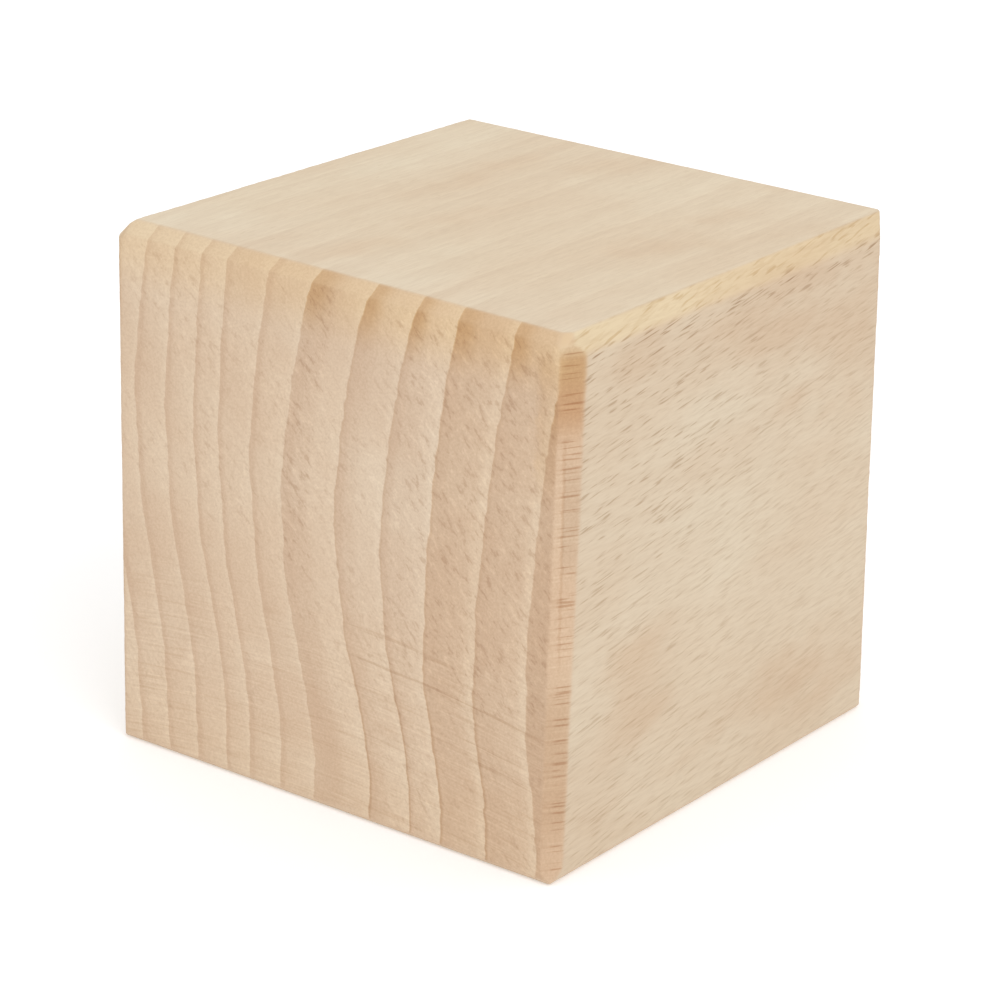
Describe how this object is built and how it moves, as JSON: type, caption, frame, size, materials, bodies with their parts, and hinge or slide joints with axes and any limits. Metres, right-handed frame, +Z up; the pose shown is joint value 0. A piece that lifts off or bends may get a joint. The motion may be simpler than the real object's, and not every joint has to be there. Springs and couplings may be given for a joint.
{
  "type": "wooden cube",
  "caption": "Solid beech cube with sawn end-grain faces, planed side faces and a small flat bevel along every edge, finer round the bottom; a spacer, riser or craft block.",
  "frame": {"origin": "middle of the bottom face, on the surface the cube stands on", "axes": "+Z up; the grain runs along Y, so the end grain shows on the -Y and +Y faces; the growth rings follow one another along X, so the ray-flecked tangential faces are -X and +X"},
  "size_m": [0.05, 0.05, 0.05],
  "materials": {
    "beech": "bare, unfinished, planed and sawn, matt"
  },
  "bodies": {
    "root": {"wooden_cube": "beech"}
  },
  "joints": []
}
